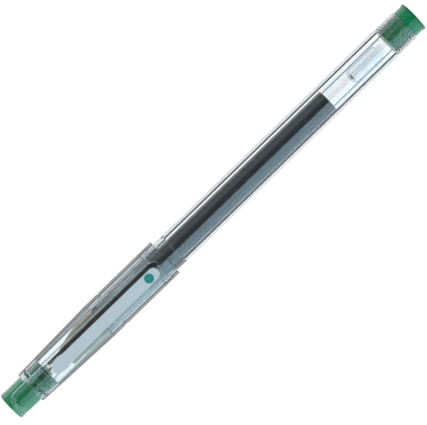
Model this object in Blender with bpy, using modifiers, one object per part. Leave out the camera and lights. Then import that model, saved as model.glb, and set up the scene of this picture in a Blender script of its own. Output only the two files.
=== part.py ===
"""A capped gel pen with a needle tip, lying along X with its clip up.

The closed end of the cap is at -X and the barrel's tail plug at +X. The origin is under the
middle of the pen, on the surface that the cap rests on. Most pieces are turned about the pen's
axis, so their shapes are given by stations along it, counted from the closed end of the cap.
"""

import math

import bmesh
import bpy

MM = 0.001

# Overall
PEN_LENGTH = 142.0 * MM
CAP_LENGTH = 54.4 * MM

# Facets round a full turn: large pieces, and the pieces of the writing tip
ROUND_STEPS = 32
FINE_STEPS = 20
SEAT_GAP = 0.1 * MM  # between faces that rest on each other

# Barrel
BARREL_RADIUS = 4.45 * MM
BARREL_WALL = 0.91 * MM
GRIP_DEPTH = 0.25 * MM  # how far the grip, which the cap covers, lies below the barrel
GRIP_SHOULDER = 0.3 * MM  # from the cap's mouth to the barrel's full radius
LOCATING_LENGTH = 2.6 * MM  # narrow bore that reaches behind the cap's mouth
LOCATING_TAPER = 0.6 * MM
SNAP_BEAD_HEIGHT = 0.3 * MM
SNAP_BEAD_WIDTH = 0.6 * MM
TAIL_RIB_COUNT = 8
TAIL_RIB_PITCH = 0.82 * MM
TAIL_RIB_DEPTH = 0.12 * MM

# Nose, pressed into the front of the barrel
NOSE_RADIUS = 3.5 * MM
NOSE_LENGTH = 12.3 * MM
NOSE_MOUTH_RADIUS = 1.9 * MM
NOSE_OGIVE = 6.6 * MM  # length of the curved part
NOSE_SPIGOT = 4.7 * MM
NOSE_WALL = 0.75 * MM
NOSE_SHOULDER = 0.35 * MM  # from the nose's full radius down to its spigot
PRESS_CLEARANCE = 0.1 * MM

# Cap
CAP_WALL = 0.82 * MM
CAP_CLEARANCE = 0.4 * MM  # over the grip
NOSE_CLEARANCE = 0.15 * MM  # cap sleeve over the nose
SLEEVE_END = 31.5 * MM
CAP_END_RADIUS = 4.6 * MM
CAP_SHOULDER_RADIUS = 4.9 * MM
CAP_SHOULDER_STATION = 14.8 * MM
SNAP_GROOVE_DEPTH = 0.15 * MM
SNAP_GROOVE_WIDTH = 2.3 * MM
MOUTH_COLLAR = 2.2 * MM

# Green plug in the closed end of the cap
HEAD_LENGTH = 7.0 * MM
HEAD_RADIUS = 3.92 * MM
HEAD_ROUNDING = 0.35 * MM
HEAD_LIP = 0.05 * MM
HEAD_LIP_WIDTH = 1.5 * MM
NECK_RADIUS = 2.5 * MM
NECK_LENGTH = 2.4 * MM
FLANGE_LENGTH = 3.7 * MM
NECK_CLEARANCE = 0.15 * MM
SEAL_RADIUS = 1.4 * MM
SEAL_LENGTH = 3.2 * MM
SEAL_STANDS_OUT = 0.6 * MM
DIMPLE_RADIUS = 0.8 * MM
DIMPLE_DEPTH = 0.9 * MM

# Clip
CLIP_WIDTH = 5.9 * MM
CLIP_THICKNESS = 1.3 * MM
CLIP_GAP = 0.88 * MM  # between the cap and the clip's underside
CLIP_START = 0.96 * MM
CLIP_SHORT_OF_MOUTH = 1.8 * MM
CLIP_ROOT_END = 12.8 * MM
CLIP_SPLIT = 0.3 * MM  # the slit in the model at the line where the clip flexes
CLIP_EDGE = 0.25 * MM
BRIDGE_SETBACK = 0.6 * MM
BRIDGE_WIDTH = 4.6 * MM
PAD_LENGTH = 3.0 * MM
PAD_SETBACK = 2.1 * MM
PAD_WIDTH = 3.6 * MM
PAD_CLEARANCE = 0.33 * MM
LABEL_THICKNESS = 0.1 * MM
LABEL_LIFT = 0.03 * MM
LABEL_START = 14.3 * MM
LABEL_WIDTH = 3.2 * MM
LABEL_OVAL_WIDTH = 3.8 * MM
LABEL_OVAL_LENGTH = 6.2 * MM
LABEL_SHORT_OF_CLIP = 1.6 * MM

# Writing tip
BALL_RADIUS = 0.2 * MM
BALL_CLEARANCE = 0.03 * MM
BALL_STATION = 13.5 * MM
LIP_AHEAD = 0.12 * MM  # how far the needle's lip reaches past the ball's middle
NEEDLE_RADIUS = 0.35 * MM
NEEDLE_BORE = 0.15 * MM
NEEDLE_END = 23.9 * MM
TIP_CONE_START = 16.2 * MM
TIP_CONE_REACH = 3.4 * MM
TIP_CONE_NOSE_RADIUS = 1.2 * MM
TIP_CONE_BODY_RADIUS = 1.6 * MM
TIP_CONE_STEP = 22.4 * MM
TIP_CONE_CLEARANCE = 0.15 * MM
TIP_SPIGOT_RADIUS = 1.3 * MM
TIP_SPIGOT_LENGTH = 5.0 * MM
TIP_FIT = 0.03 * MM
INK_PASSAGE = 0.6 * MM
HOLDER_START = 27.0 * MM
HOLDER_CLEARANCE = 0.15 * MM
HOLDER_FLANGE_LENGTH = 1.5 * MM
HOLDER_FLANGE_GAP = 0.3 * MM
HOLDER_SPIGOT = 8.0 * MM
SPRING_RADIUS = 0.4 * MM
SPRING_WIRE = 0.06 * MM
SPRING_LENGTH = 5.2 * MM
SPRING_TURNS = 6

# Refill
REFILL_RADIUS = 3.17 * MM
REFILL_WALL = 0.42 * MM
REFILL_CLEARANCE = 0.08 * MM  # in the barrel's narrow bore
FILL_CLEARANCE = 0.1 * MM  # between what the tube holds and its wall
INK_END_FROM_TAIL = 30.6 * MM
FOLLOWER_LENGTH = 17.4 * MM
FLOAT_INTO_FOLLOWER = 7.6 * MM
FLOAT_LENGTH = 11.4 * MM
FLOAT_RADIUS = 1.4 * MM
FLOAT_WALL = 0.45 * MM
FLOAT_CLEARANCE = 0.25 * MM

# Plug in the tail of the barrel
TAIL_HEAD_LENGTH = 3.3 * MM
TAIL_HEAD_INSET = 0.35 * MM  # how far the head lies below the barrel's surface
TAIL_RIM_HEIGHT = 0.2 * MM
TAIL_RIM_LENGTH = 0.9 * MM
TAIL_ROUNDING = 0.3 * MM
TAIL_SPIGOT_LENGTH = 6.8 * MM
TAIL_SPIGOT_CLEARANCE = 0.14 * MM
TUBE_SHORT_OF_PLUG = 0.8 * MM

# Sizes that follow
GRIP_RADIUS = BARREL_RADIUS - GRIP_DEPTH
BORE_RADIUS = BARREL_RADIUS - BARREL_WALL
LOCATING_RADIUS = REFILL_RADIUS + REFILL_CLEARANCE
SPIGOT_RADIUS = NOSE_RADIUS - NOSE_SHOULDER
CAP_BORE = GRIP_RADIUS + CAP_CLEARANCE
CAP_RADIUS = CAP_BORE + CAP_WALL
SLEEVE_BORE = NOSE_RADIUS + NOSE_CLEARANCE
AXIS_HEIGHT = CAP_RADIUS
CLIP_BOTTOM = CAP_RADIUS + CLIP_GAP
CLIP_TOP = CLIP_BOTTOM + CLIP_THICKNESS
CLIP_END = CAP_LENGTH - CLIP_SHORT_OF_MOUTH
CLIP_ARM_START = CLIP_ROOT_END + CLIP_SPLIT
CLIP_HINGE = CLIP_ROOT_END + CLIP_SPLIT / 2
NOSE_START = SLEEVE_END - NOSE_LENGTH
SNAP_MIDDLE = CAP_LENGTH - MOUTH_COLLAR - SNAP_GROOVE_WIDTH / 2
FLANGE_START = HEAD_LENGTH + NECK_LENGTH
FLANGE_END = FLANGE_START + FLANGE_LENGTH
SEAL_END = FLANGE_END + SEAL_STANDS_OUT
NOSE_BORE = NOSE_RADIUS - NOSE_WALL
HOLDER_RADIUS = NOSE_BORE - HOLDER_CLEARANCE
NOSE_END = SLEEVE_END + NOSE_SPIGOT
FLANGE_OF_HOLDER = NOSE_END + HOLDER_FLANGE_GAP
TUBE_START = FLANGE_OF_HOLDER + HOLDER_FLANGE_LENGTH + SEAT_GAP
TUBE_BORE = REFILL_RADIUS - REFILL_WALL
TAIL_HEAD_RADIUS = BARREL_RADIUS - TAIL_HEAD_INSET
TAIL_RIM_RADIUS = TAIL_HEAD_RADIUS + TAIL_RIM_HEIGHT
TAIL_PLUG_START = PEN_LENGTH - TAIL_HEAD_LENGTH - TAIL_SPIGOT_LENGTH
TUBE_END = TAIL_PLUG_START - TUBE_SHORT_OF_PLUG
BARREL_END = PEN_LENGTH - TAIL_HEAD_LENGTH - SEAT_GAP
HOLDER_END = TUBE_START + HOLDER_SPIGOT
INK_END = PEN_LENGTH - INK_END_FROM_TAIL
FOLLOWER_START = INK_END + SEAT_GAP
FLOAT_START = FOLLOWER_START + FLOAT_INTO_FOLLOWER

# Colours: linear RGB, roughness, metallic, transmission
CLEAR = ((0.92, 0.95, 0.96), 0.06, 0.0, 1.0)
GREEN = ((0.03, 0.30, 0.15), 0.15, 0.0, 0.6)
BEIGE = ((0.62, 0.56, 0.42), 0.25, 0.0, 0.0)
STEEL = ((0.62, 0.62, 0.60), 0.20, 1.0, 0.0)
BRASS = ((0.72, 0.66, 0.52), 0.25, 1.0, 0.0)
CARBIDE = ((0.25, 0.25, 0.27), 0.15, 1.0, 0.0)
RUBBER = ((0.70, 0.72, 0.70), 0.60, 0.0, 0.0)
INK = ((0.02, 0.03, 0.04), 0.30, 0.0, 0.0)
GEL = ((0.88, 0.93, 0.95), 0.05, 0.0, 1.0)
PAPER = ((0.50, 0.58, 0.66), 0.45, 0.0, 0.0)


def material(name, finish):
    colour, roughness, metallic, transmission = finish
    made = bpy.data.materials.new(name)
    made.use_nodes = True
    shader = made.node_tree.nodes["Principled BSDF"]
    shader.inputs["Base Color"].default_value = (*colour, 1.0)
    shader.inputs["Roughness"].default_value = roughness
    shader.inputs["Metallic"].default_value = metallic
    shader.inputs["Transmission Weight"].default_value = transmission
    made.diffuse_color = (*colour, 1.0)
    return made


def collection(name):
    made = bpy.data.collections.new(name)
    bpy.context.scene.collection.children.link(made)
    return made


def empty(name, parent=None, station=0.0, height=0.0):
    """An empty on the pen's axis, or above it. Its Z runs along the pen, from cap to tail."""
    made = bpy.data.objects.new(name, None)
    made.empty_display_size = 5.0 * MM
    if parent:
        made.parent = parent
        made.location = (-height, 0.0, station)
    else:
        made.location = (-PEN_LENGTH / 2, 0.0, AXIS_HEIGHT)
        made.rotation_euler = (0.0, math.pi / 2, 0.0)
    PEN.objects.link(made)
    return made


def add(name, mesh, parent, finish, location=(0.0, 0.0, 0.0)):
    made = bpy.data.objects.new(name, mesh)
    made.parent = parent
    made.location = location
    mesh.materials.append(material(name, finish))
    PEN.objects.link(made)
    return made


def arc(station, radius, size, start, end, points=4):
    """Points on an arc about (station, radius), as pairs of the same kind. 0 degrees is the tail's way."""
    turn = [math.radians(start + (end - start) * i / (points - 1)) for i in range(points)]
    return [(station + size * math.cos(a), radius + size * math.sin(a)) for a in turn]


def turned(name, parent, finish, outer, inner=(), steps=ROUND_STEPS):
    """A piece turned about the pen's axis from its outline, given as (station, radius) pairs.

    outer and inner both run from the cap's end towards the tail. A point of radius 0 ends a
    side on the axis, so a solid or blind piece has two, and a tube has none.
    """
    loop = list(reversed(outer)) + list(inner)
    mesh = bpy.data.meshes.new(name)
    shape = bmesh.new()
    corners = [shape.verts.new((radius, 0.0, station)) for station, radius in loop]
    for i, (a, b) in enumerate(zip(corners, corners[1:] + corners[:1])):
        if loop[i][1] > 0.0 or loop[(i + 1) % len(loop)][1] > 0.0:
            shape.edges.new((a, b))
    shape.to_mesh(mesh)
    shape.free()
    piece = add(name, mesh, parent, finish)
    screw = piece.modifiers.new("Turn", "SCREW")
    screw.steps = screw.render_steps = steps
    screw.use_merge_vertices = True
    screw.merge_threshold = 1e-6
    screw.use_smooth_shade = True
    return piece


def helper(piece):
    """Marks a shape that a Boolean uses, so that it is no piece of its own."""
    piece.hide_render = True
    piece.display_type = "WIRE"
    PEN.objects.unlink(piece)
    CUTTERS.objects.link(piece)
    return piece


def joined(piece, other):
    union = piece.modifiers.new("Join " + other.name, "BOOLEAN")
    union.operation = "UNION"
    union.solver = "EXACT"
    union.object = helper(other)


def flat_bar(name, outline, low, thickness, finish):
    """A bar with an outline of (station, y) pairs and its underside at a height over the axis."""
    curve = bpy.data.curves.new(name, "CURVE")
    curve.dimensions = "2D"
    curve.fill_mode = "BOTH"
    curve.extrude = thickness / 2
    spline = curve.splines.new("POLY")
    spline.points.add(len(outline) - 1)
    for point, (station, y) in zip(spline.points, outline):
        point.co = (station - PEN_LENGTH / 2, y, 0.0, 1.0)
    spline.use_cyclic_u = True
    drawn = bpy.data.objects.new(name + "_outline", curve)
    PEN.objects.link(drawn)
    bpy.context.view_layer.update()
    seen = drawn.evaluated_get(bpy.context.evaluated_depsgraph_get())
    mesh = bpy.data.meshes.new_from_object(seen)
    bpy.data.objects.remove(drawn)
    shape = bmesh.new()
    shape.from_mesh(mesh)
    bmesh.ops.remove_doubles(shape, verts=shape.verts, dist=1e-7)
    bmesh.ops.recalc_face_normals(shape, faces=shape.faces)
    shape.to_mesh(mesh)
    shape.free()
    mesh.name = name
    mesh.materials.clear()
    piece = add(name, mesh, None, finish, (0.0, 0.0, AXIS_HEIGHT + low + thickness / 2))
    return piece


def edge_rounding(piece, width):
    bevel = piece.modifiers.new("Edges", "BEVEL")
    bevel.width = width
    bevel.segments = 2
    bevel.limit_method = "ANGLE"
    bevel.angle_limit = math.radians(40.0)


def under(piece, parent):
    """Gives a piece a parent and leaves it where it is."""
    bpy.context.view_layer.update()
    piece.parent = parent
    piece.matrix_parent_inverse = parent.matrix_world.inverted()


def half_round(middle, facing, radius, points=13):
    """The round end of a bar: points round a half circle that faces the cap's end (-1) or the tail (1)."""
    turns = [math.pi * (0.5 + i / (points - 1)) for i in range(points)]
    if facing > 0:
        turns = [a + math.pi for a in turns]
    return [(middle + radius * math.cos(a), radius * math.sin(a)) for a in turns]


def box(name, low, high, finish):
    """A block between two corners, given as (station, y, height over the axis)."""
    shape = bmesh.new()
    bmesh.ops.create_cube(shape, size=1.0)
    size = [b - a for a, b in zip(low, high)]
    bmesh.ops.scale(shape, vec=size, verts=shape.verts)
    mesh = bpy.data.meshes.new(name)
    shape.to_mesh(mesh)
    shape.free()
    middle = [(a + b) / 2 for a, b in zip(low, high)]
    return add(name, mesh, None, finish, (middle[0] - PEN_LENGTH / 2, middle[1], middle[2] + AXIS_HEIGHT))


def make_barrel(axis):
    ribs_start = BARREL_END - TAIL_RIB_COUNT * TAIL_RIB_PITCH
    bead = SNAP_BEAD_WIDTH / 2
    outer = [
        (SLEEVE_END + SEAT_GAP, GRIP_RADIUS - SEAT_GAP),
        (SLEEVE_END + 2 * SEAT_GAP, GRIP_RADIUS),
        (SNAP_MIDDLE - 2 * bead, GRIP_RADIUS),
        (SNAP_MIDDLE - bead, GRIP_RADIUS + SNAP_BEAD_HEIGHT),
        (SNAP_MIDDLE + bead, GRIP_RADIUS + SNAP_BEAD_HEIGHT),
        (SNAP_MIDDLE + 2 * bead, GRIP_RADIUS),
        (CAP_LENGTH, GRIP_RADIUS),
        (CAP_LENGTH + GRIP_SHOULDER, BARREL_RADIUS),
        (ribs_start, BARREL_RADIUS),
    ]
    for rib in range(TAIL_RIB_COUNT):
        start = ribs_start + rib * TAIL_RIB_PITCH
        outer.append((start + TAIL_RIB_PITCH / 4, BARREL_RADIUS - TAIL_RIB_DEPTH))
        outer.append((start + TAIL_RIB_PITCH * 3 / 4, BARREL_RADIUS - TAIL_RIB_DEPTH / 4))
    outer.append((BARREL_END, BARREL_RADIUS - TAIL_RIB_DEPTH))
    locating_end = CAP_LENGTH + LOCATING_LENGTH
    nose_socket = SPIGOT_RADIUS + PRESS_CLEARANCE
    inner = [
        (SLEEVE_END + SEAT_GAP, nose_socket),
        (NOSE_END, nose_socket),
        (NOSE_END + SEAT_GAP, LOCATING_RADIUS),
        (locating_end, LOCATING_RADIUS),
        (locating_end + LOCATING_TAPER, BORE_RADIUS),
        (BARREL_END, BORE_RADIUS),
    ]
    turned("barrel", axis, CLEAR, outer, inner)


def make_nose(axis):
    ogive = [
        (
            NOSE_START + NOSE_OGIVE * math.sin(a),
            NOSE_RADIUS - (NOSE_RADIUS - NOSE_MOUTH_RADIUS) * (1 - math.sin(a)) ** 1.3,
        )
        for a in (math.pi / 2 * i / 5 for i in range(6))
    ]
    outer = [*ogive, (SLEEVE_END, NOSE_RADIUS), (SLEEVE_END, SPIGOT_RADIUS), (NOSE_END, SPIGOT_RADIUS)]
    step = TIP_CONE_BODY_RADIUS + TIP_CONE_CLEARANCE
    mouth = TIP_CONE_NOSE_RADIUS + TIP_CONE_CLEARANCE
    inner = [
        (NOSE_START, mouth),
        (TIP_CONE_STEP - TIP_CONE_CLEARANCE, mouth),
        (TIP_CONE_STEP, step),
        (TIP_CONE_STEP + step, step),
        (HOLDER_START - HOLDER_CLEARANCE, NOSE_BORE),
        (NOSE_END, NOSE_BORE),
    ]
    turned("nose_cone", axis, BEIGE, outer, inner)


def make_cap(axis):
    front = HEAD_LENGTH + SEAT_GAP / 2
    bead = NECK_RADIUS + NECK_CLEARANCE
    groove = (SNAP_MIDDLE - SNAP_GROOVE_WIDTH / 2, SNAP_MIDDLE + SNAP_GROOVE_WIDTH / 2)
    outer = [
        (front, CAP_END_RADIUS - SEAT_GAP),
        (front + SEAT_GAP, CAP_END_RADIUS),
        (CAP_SHOULDER_STATION, CAP_SHOULDER_RADIUS),
        (SLEEVE_END, CAP_RADIUS),
        (CAP_LENGTH - SEAT_GAP, CAP_RADIUS),
        (CAP_LENGTH, CAP_RADIUS - SEAT_GAP),
    ]
    inner = [
        (front, bead),
        (front + NECK_LENGTH / 2, bead),
        (FLANGE_START - SEAT_GAP, SLEEVE_BORE),
        (SLEEVE_END, SLEEVE_BORE),
        (SLEEVE_END, CAP_BORE),
        (groove[0], CAP_BORE),
        (groove[0] + SNAP_GROOVE_DEPTH, CAP_BORE + SNAP_GROOVE_DEPTH),
        (groove[1] - SNAP_GROOVE_DEPTH, CAP_BORE + SNAP_GROOVE_DEPTH),
        (groove[1], CAP_BORE),
        (CAP_LENGTH, CAP_BORE),
    ]
    shell = turned("cap_shell", axis, CLEAR, outer, inner)
    end = CLIP_WIDTH / 2
    root = [*half_round(CLIP_START + end, -1, end), (CLIP_ROOT_END, -end), (CLIP_ROOT_END, end)]
    plate = flat_bar("clip_root", root, CLIP_BOTTOM, CLIP_THICKNESS, CLEAR)
    edge_rounding(plate, CLIP_EDGE)
    bridge = box(
        "clip_bridge",
        (HEAD_LENGTH + BRIDGE_SETBACK, -BRIDGE_WIDTH / 2, SLEEVE_BORE + SEAT_GAP),
        (CLIP_ROOT_END - CLIP_EDGE, BRIDGE_WIDTH / 2, CLIP_BOTTOM + CLIP_THICKNESS / 4),
        CLEAR,
    )
    joined(shell, bridge)
    joined(shell, plate)


def make_end_plug(axis):
    start = HEAD_ROUNDING
    lip = HEAD_RADIUS + HEAD_LIP
    head_end = HEAD_LENGTH - SEAT_GAP / 2
    flange = SLEEVE_BORE - PRESS_CLEARANCE
    socket = SEAL_RADIUS + PRESS_CLEARANCE
    outer = [
        (0.0, 0.0),
        *arc(start, lip - HEAD_ROUNDING, HEAD_ROUNDING, 180.0, 90.0),
        (HEAD_LIP_WIDTH - HEAD_LIP, lip),
        (HEAD_LIP_WIDTH, HEAD_RADIUS),
        (head_end, HEAD_RADIUS),
        (head_end, NECK_RADIUS),
        (FLANGE_START, NECK_RADIUS),
        (FLANGE_START, flange - SEAT_GAP),
        (FLANGE_START + SEAT_GAP, flange),
        (FLANGE_END, flange),
    ]
    socket_floor = SEAL_END - SEAL_LENGTH - SEAT_GAP
    inner = [(socket_floor, 0.0), (socket_floor, socket), (FLANGE_END, socket)]
    turned("cap_end_plug", axis, GREEN, outer, inner)


def make_seal(axis):
    outer = [(SEAL_END - SEAL_LENGTH, 0.0), (SEAL_END - SEAL_LENGTH, SEAL_RADIUS), (SEAL_END, SEAL_RADIUS)]
    inner = [(SEAL_END - DIMPLE_DEPTH, 0.0), (SEAL_END, DIMPLE_RADIUS)]
    turned("tip_seal", axis, RUBBER, outer, inner, FINE_STEPS)


def make_clip(hinge):
    end = CLIP_WIDTH / 2
    arm = [(CLIP_ARM_START, end), (CLIP_ARM_START, -end), *half_round(CLIP_END - end, 1, end)]
    clip = flat_bar("clip_arm", arm, CLIP_BOTTOM, CLIP_THICKNESS, CLEAR)
    edge_rounding(clip, CLIP_EDGE)
    pad_end = CLIP_END - PAD_SETBACK
    pad = box(
        "clip_pad",
        (pad_end - PAD_LENGTH, -PAD_WIDTH / 2, CAP_RADIUS + PAD_CLEARANCE),
        (pad_end, PAD_WIDTH / 2, CLIP_BOTTOM + CLIP_THICKNESS / 3),
        CLEAR,
    )
    edge_rounding(pad, CLIP_EDGE)
    joined(clip, pad)
    label = flat_bar("clip_label", label_outline(), CLIP_TOP + LABEL_LIFT, LABEL_THICKNESS, PAPER)
    for piece in (clip, label):
        under(piece, hinge)


def label_outline(points=11):
    """A band with a wider oval front end and a round rear end."""
    middle = LABEL_START + LABEL_OVAL_LENGTH / 2
    band = LABEL_WIDTH / 2
    sweep = math.asin(LABEL_WIDTH / LABEL_OVAL_WIDTH)
    turns = [sweep + (2 * math.pi - 2 * sweep) * i / (points - 1) for i in range(points)]
    oval = [
        (middle + LABEL_OVAL_LENGTH / 2 * math.cos(a), LABEL_OVAL_WIDTH / 2 * math.sin(a)) for a in turns
    ]
    return [*oval, *half_round(CLIP_END - LABEL_SHORT_OF_CLIP - band, 1, band, points)]


def make_tip(axis, pivot):
    seat = BALL_RADIUS + BALL_CLEARANCE
    lip = BALL_STATION - LIP_AHEAD
    lip_radius = math.sqrt(seat**2 - LIP_AHEAD**2)
    outer = [
        (lip, lip_radius + BALL_CLEARANCE),
        (lip + NEEDLE_RADIUS, NEEDLE_RADIUS),
        (NEEDLE_END, NEEDLE_RADIUS),
    ]
    lip_angle = math.degrees(math.acos(-LIP_AHEAD / seat))
    seat_angle = math.degrees(math.asin(NEEDLE_BORE / seat))
    inner = [*arc(BALL_STATION, 0.0, seat, lip_angle, seat_angle, 5), (NEEDLE_END, NEEDLE_BORE)]
    turned("needle_tube", axis, STEEL, outer, inner, FINE_STEPS)

    shape = bmesh.new()
    bmesh.ops.create_uvsphere(shape, u_segments=12, v_segments=8, radius=BALL_RADIUS)
    mesh = bpy.data.meshes.new("writing_ball")
    shape.to_mesh(mesh)
    shape.free()
    add("writing_ball", mesh, pivot, CARBIDE)


def make_tip_cone(axis):
    body_end = HOLDER_START - SEAT_GAP
    end = HOLDER_START + TIP_SPIGOT_LENGTH
    outer = [
        (TIP_CONE_START, NEEDLE_RADIUS + SEAT_GAP),
        (TIP_CONE_START + SEAT_GAP, NEEDLE_RADIUS + 2 * SEAT_GAP),
        (TIP_CONE_START + TIP_CONE_REACH, TIP_CONE_NOSE_RADIUS),
        (TIP_CONE_STEP, TIP_CONE_NOSE_RADIUS),
        (TIP_CONE_STEP + TIP_CONE_BODY_RADIUS - TIP_CONE_NOSE_RADIUS, TIP_CONE_BODY_RADIUS),
        (body_end, TIP_CONE_BODY_RADIUS),
        (body_end, TIP_SPIGOT_RADIUS),
        (end, TIP_SPIGOT_RADIUS),
    ]
    inner = [
        (TIP_CONE_START, NEEDLE_RADIUS + TIP_FIT),
        (NEEDLE_END + SEAT_GAP, NEEDLE_RADIUS + TIP_FIT),
        (NEEDLE_END + SEAT_GAP, INK_PASSAGE),
        (end, INK_PASSAGE),
    ]
    turned("tip_cone", axis, BRASS, outer, inner, FINE_STEPS)


def make_holder(axis):
    flange = REFILL_RADIUS - FILL_CLEARANCE
    flange_end = FLANGE_OF_HOLDER + HOLDER_FLANGE_LENGTH
    spigot = TUBE_BORE - FILL_CLEARANCE
    outer = [
        (HOLDER_START, HOLDER_RADIUS - HOLDER_CLEARANCE),
        (HOLDER_START + HOLDER_CLEARANCE, HOLDER_RADIUS),
        (FLANGE_OF_HOLDER, HOLDER_RADIUS),
        (FLANGE_OF_HOLDER, flange),
        (flange_end, flange),
        (flange_end, spigot),
        (HOLDER_END, spigot),
    ]
    socket_end = HOLDER_START + TIP_SPIGOT_LENGTH + SEAT_GAP
    inner = [
        (HOLDER_START, TIP_SPIGOT_RADIUS + TIP_FIT),
        (socket_end, TIP_SPIGOT_RADIUS + TIP_FIT),
        (socket_end, INK_PASSAGE),
        (flange_end, INK_PASSAGE),
        (HOLDER_END, spigot - REFILL_WALL),
    ]
    turned("tip_holder", axis, BEIGE, outer, inner)


def make_spring(axis):
    """A coil that pushes a straight end of its wire against the back of the ball."""
    coil_start = NEEDLE_END + SPRING_RADIUS
    rod_start = BALL_STATION + BALL_RADIUS + BALL_CLEARANCE
    per_turn = 10
    route = [(0.0, 0.0, rod_start), (0.0, 0.0, coil_start - SPRING_RADIUS)]
    for i in range(SPRING_TURNS * per_turn + 1):
        turn = 2 * math.pi * i / per_turn
        along = coil_start + SPRING_LENGTH * i / (SPRING_TURNS * per_turn)
        route.append((SPRING_RADIUS * math.cos(turn), SPRING_RADIUS * math.sin(turn), along))
    curve = bpy.data.curves.new("ball_spring", "CURVE")
    curve.dimensions = "3D"
    curve.bevel_depth = SPRING_WIRE
    curve.bevel_resolution = 1
    curve.use_fill_caps = True
    spline = curve.splines.new("POLY")
    spline.points.add(len(route) - 1)
    for point, place in zip(spline.points, route):
        point.co = (*place, 1.0)
    add("ball_spring", curve, axis, STEEL)


def make_refill(axis):
    outer = [(TUBE_START, REFILL_RADIUS), (TUBE_END, REFILL_RADIUS)]
    inner = [(TUBE_START, TUBE_BORE), (TUBE_END, TUBE_BORE)]
    turned("refill_tube", axis, CLEAR, outer, inner)
    ink = TUBE_BORE - FILL_CLEARANCE
    start = HOLDER_END + SEAT_GAP
    turned("ink_column", axis, INK, [(start, 0.0), (start, ink), (INK_END, ink), (INK_END, 0.0)])


def make_follower(axis):
    gel = TUBE_BORE - FILL_CLEARANCE
    end = FOLLOWER_START + FOLLOWER_LENGTH
    hollow = FLOAT_RADIUS + FLOAT_CLEARANCE
    outer = [(FOLLOWER_START, 0.0), (FOLLOWER_START, gel), (end, gel)]
    nose = FLOAT_START + FLOAT_RADIUS
    pocket = [*arc(nose, 0.0, hollow, 180.0, 90.0, 5), (end, hollow)]
    turned("follower_gel", axis, GEL, outer, [(pocket[0][0], 0.0), *pocket[1:]])
    shell = arc(nose, 0.0, FLOAT_RADIUS, 180.0, 90.0, 5)
    float_end = FLOAT_START + FLOAT_LENGTH
    hole = FLOAT_RADIUS - FLOAT_WALL
    core = arc(nose, 0.0, hole, 180.0, 90.0, 5)
    turned(
        "float",
        axis,
        CLEAR,
        [(FLOAT_START, 0.0), *shell[1:], (float_end, FLOAT_RADIUS)],
        [(core[0][0], 0.0), *core[1:], (float_end, hole)],
        FINE_STEPS,
    )


def make_tail_plug(axis):
    head_start = PEN_LENGTH - TAIL_HEAD_LENGTH
    spigot = BORE_RADIUS - TAIL_SPIGOT_CLEARANCE
    corner = PEN_LENGTH - TAIL_ROUNDING
    outer = [
        (TAIL_PLUG_START, 0.0),
        (TAIL_PLUG_START, spigot - TAIL_ROUNDING),
        (TAIL_PLUG_START + TAIL_ROUNDING, spigot),
        (head_start, spigot),
        (head_start, TAIL_HEAD_RADIUS),
        (PEN_LENGTH - TAIL_RIM_LENGTH, TAIL_HEAD_RADIUS),
        *arc(corner, TAIL_RIM_RADIUS - TAIL_ROUNDING, TAIL_ROUNDING, 90.0, 0.0),
        (PEN_LENGTH, 0.0),
    ]
    turned("tail_plug", axis, GREEN, outer)


def make_pen():
    pen_axis = empty("pen_axis")
    cap_axis = empty("cap_slide_axis", pen_axis)
    clip_hinge = empty("clip_flex_axis", cap_axis, CLIP_HINGE, CLIP_BOTTOM + CLIP_THICKNESS / 2)
    refill_axis = empty("refill_slide_axis", pen_axis)
    plug_axis = empty("tail_plug_axis", refill_axis)
    follower_axis = empty("follower_axis", refill_axis)
    ball_pivot = empty("ball_pivot", refill_axis, BALL_STATION)
    make_barrel(pen_axis)
    make_nose(pen_axis)
    make_cap(cap_axis)
    make_end_plug(cap_axis)
    make_seal(cap_axis)
    make_clip(clip_hinge)
    make_tip(refill_axis, ball_pivot)
    make_tip_cone(refill_axis)
    make_spring(refill_axis)
    make_holder(refill_axis)
    make_refill(refill_axis)
    make_follower(follower_axis)
    make_tail_plug(plug_axis)


for old in list(bpy.data.objects):
    bpy.data.objects.remove(old)
PEN = collection("gel_pen")
CUTTERS = collection("cutters")
make_pen()
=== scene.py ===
"""Looks of a capped gel pen: clear mouldings over a beige nose, a dark ink column and green plugs.

Each sub-assembly of the pen is a class. It holds its own sizes in millimetres, builds its meshes
from outlines that are turned about the pen's axis or raised from flat shapes, and dresses them
with the finishes that are defined further up. Stations run along the pen's axis, in millimetres,
from the closed end of the cap.
"""

import logging
import math
from abc import ABC, abstractmethod
from dataclasses import dataclass, field
from enum import Enum
from typing import Any, Mapping, Sequence

import bmesh
import bpy
from mathutils import Matrix, Vector


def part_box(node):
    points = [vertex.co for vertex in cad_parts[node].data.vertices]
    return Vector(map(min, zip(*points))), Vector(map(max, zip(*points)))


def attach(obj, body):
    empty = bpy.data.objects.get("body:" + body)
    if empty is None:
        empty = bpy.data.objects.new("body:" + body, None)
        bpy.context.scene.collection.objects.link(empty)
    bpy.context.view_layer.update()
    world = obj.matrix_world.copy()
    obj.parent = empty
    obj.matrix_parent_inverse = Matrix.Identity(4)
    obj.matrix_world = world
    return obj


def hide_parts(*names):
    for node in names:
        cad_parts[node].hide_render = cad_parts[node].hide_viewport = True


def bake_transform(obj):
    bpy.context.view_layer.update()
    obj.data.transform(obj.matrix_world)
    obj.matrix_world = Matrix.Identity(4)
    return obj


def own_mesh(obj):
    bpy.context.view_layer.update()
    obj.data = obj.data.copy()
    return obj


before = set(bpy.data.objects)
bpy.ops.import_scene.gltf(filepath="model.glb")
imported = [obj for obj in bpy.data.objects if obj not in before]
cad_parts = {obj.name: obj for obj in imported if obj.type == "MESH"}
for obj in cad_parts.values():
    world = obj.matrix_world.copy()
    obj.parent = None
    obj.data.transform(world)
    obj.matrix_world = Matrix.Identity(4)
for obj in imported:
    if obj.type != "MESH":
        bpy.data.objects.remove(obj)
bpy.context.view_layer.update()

LOG = logging.getLogger("gel_pen")
MM = 0.001
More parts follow.
